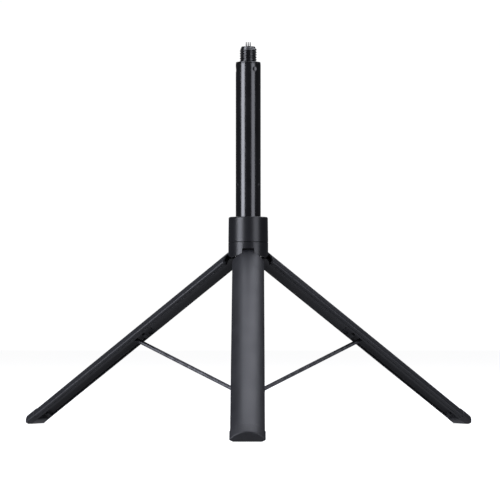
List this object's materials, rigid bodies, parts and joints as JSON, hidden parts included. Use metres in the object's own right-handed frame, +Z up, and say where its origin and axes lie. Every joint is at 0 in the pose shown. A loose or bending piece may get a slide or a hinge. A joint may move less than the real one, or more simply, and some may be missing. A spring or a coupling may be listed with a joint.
{
  "type": "selfie stick",
  "caption": "Telescopic selfie stick standing on its fold-out tripod: a tubular mast slides through a collar whose hinged legs are braced by struts to a hub at its foot.",
  "frame": {"origin": "on the floor, in the middle of the open tripod's footprint box; the mast axis stands 60.3 mm behind it, towards +Y", "axes": "+Z up along the mast, one leg pointing to -Y (the front), +X to the right across the two rear legs"},
  "size_m": [0.4676, 0.4098, 0.3872],
  "materials": {
    "black_anodised": "glossy black anodised, fine drawn lines along the tube",
    "collar_plastic": "satin black moulded plastic with a fine spark texture",
    "leg_shell": "matte charcoal moulded plastic, soft sheen",
    "black_nylon": "black glass-filled nylon, slightly mottled",
    "foot_rubber": "matte black rubber",
    "dark_steel": "black oxide steel, satin",
    "contact_metal": "bright plated contact pins"
  },
  "bodies": {
    "collar": {"collar_cap": "collar_plastic", "collar_body": "collar_plastic", "collar_bush": "black_nylon", "hinge_pin_front": "dark_steel", "hinge_pin_right": "dark_steel", "hinge_pin_left": "dark_steel", "collar_screw_1": "dark_steel", "collar_screw_2": "dark_steel", "collar_screw_3": "dark_steel"},
    "mast": {"mast_tube": "black_anodised", "mast_plug": "black_nylon", "strut_hub": "black_nylon", "hub_screw": "dark_steel"},
    "section_1": {"mast_section_1": "black_anodised", "section_shoe_1": "black_nylon"},
    "section_2": {"mast_section_2": "black_anodised", "section_shoe_2": "black_nylon"},
    "section_3": {"mast_section_3": "black_anodised", "section_shoe_3": "black_nylon"},
    "section_4": {"mast_section_4": "black_anodised", "section_shoe_4": "black_nylon", "head_stud": "black_anodised", "contact_block": "black_nylon", "contact_pin_1": "contact_metal", "contact_pin_2": "contact_metal", "contact_pin_3": "contact_metal"},
    "leg_front": {"leg_cover_front": "leg_shell", "leg_core_front": "black_nylon", "foot_front": "foot_rubber", "strut_bracket_front": "dark_steel", "bracket_screw_front_a": "dark_steel", "bracket_screw_front_b": "dark_steel", "strut_pin_front": "dark_steel"},
    "leg_right": {"leg_cover_right": "leg_shell", "leg_core_right": "black_nylon", "foot_right": "foot_rubber", "strut_bracket_right": "dark_steel", "bracket_screw_right_a": "dark_steel", "bracket_screw_right_b": "dark_steel", "strut_pin_right": "dark_steel"},
    "leg_left": {"leg_cover_left": "leg_shell", "leg_core_left": "black_nylon", "foot_left": "foot_rubber", "strut_bracket_left": "dark_steel", "bracket_screw_left_a": "dark_steel", "bracket_screw_left_b": "dark_steel", "strut_pin_left": "dark_steel"},
    "strut_front": {"strut_front": "dark_steel", "hub_pin_front": "dark_steel"},
    "strut_right": {"strut_right": "dark_steel", "hub_pin_right": "dark_steel"},
    "strut_left": {"strut_left": "dark_steel", "hub_pin_left": "dark_steel"}
  },
  "joints": [
    {"name": "mast_slide", "type": "slide", "parent": "collar", "child": "mast", "axis": [0, 0, -1], "range_m": [0, 0.14444]},
    {"name": "section_1_slide", "type": "slide", "parent": "mast", "child": "section_1", "axis": [0, 0, 1], "range_m": [0, 0.155]},
    {"name": "section_2_slide", "type": "slide", "parent": "section_1", "child": "section_2", "axis": [0, 0, 1], "range_m": [0, 0.24]},
    {"name": "section_3_slide", "type": "slide", "parent": "section_2", "child": "section_3", "axis": [0, 0, 1], "range_m": [0, 0.23]},
    {"name": "section_4_slide", "type": "slide", "parent": "section_3", "child": "section_4", "axis": [0, 0, 1], "range_m": [0, 0.21]},
    {"name": "leg_front_fold", "type": "hinge", "parent": "collar", "child": "leg_front", "pos_m": [0, 0.04411, 0.1764], "axis": [1, 0, 0], "range_deg": [0, 55.5]},
    {"name": "leg_right_fold", "type": "hinge", "parent": "collar", "child": "leg_right", "pos_m": [0.01403, 0.06841, 0.1764], "axis": [-0.5, 0.866, 0], "range_deg": [0, 55.5]},
    {"name": "leg_left_fold", "type": "hinge", "parent": "collar", "child": "leg_left", "pos_m": [-0.01403, 0.06841, 0.1764], "axis": [-0.5, -0.866, 0], "range_deg": [0, 55.5]},
    {"name": "strut_front_swing", "type": "hinge", "parent": "leg_front", "child": "strut_front", "pos_m": [0, -0.07741, 0.09051], "axis": [1, 0, 0], "range_deg": [-122.6, 0]},
    {"name": "strut_right_swing", "type": "hinge", "parent": "leg_right", "child": "strut_right", "pos_m": [0.11927, 0.12917, 0.09051], "axis": [-0.5, 0.866, 0], "range_deg": [-122.6, 0]},
    {"name": "strut_left_swing", "type": "hinge", "parent": "leg_left", "child": "strut_left", "pos_m": [-0.11927, 0.12917, 0.09051], "axis": [-0.5, -0.866, 0], "range_deg": [-122.6, 0]}
  ],
  "couplings": [
    {"joint": "leg_front_fold", "follows": "mast_slide", "rad_per_m": 6.6932},
    {"joint": "leg_right_fold", "follows": "mast_slide", "rad_per_m": 6.6932},
    {"joint": "leg_left_fold", "follows": "mast_slide", "rad_per_m": 6.6932},
    {"joint": "strut_front_swing", "follows": "mast_slide", "rad_per_m": -14.788},
    {"joint": "strut_right_swing", "follows": "mast_slide", "rad_per_m": -14.788},
    {"joint": "strut_left_swing", "follows": "mast_slide", "rad_per_m": -14.788}
  ]
}
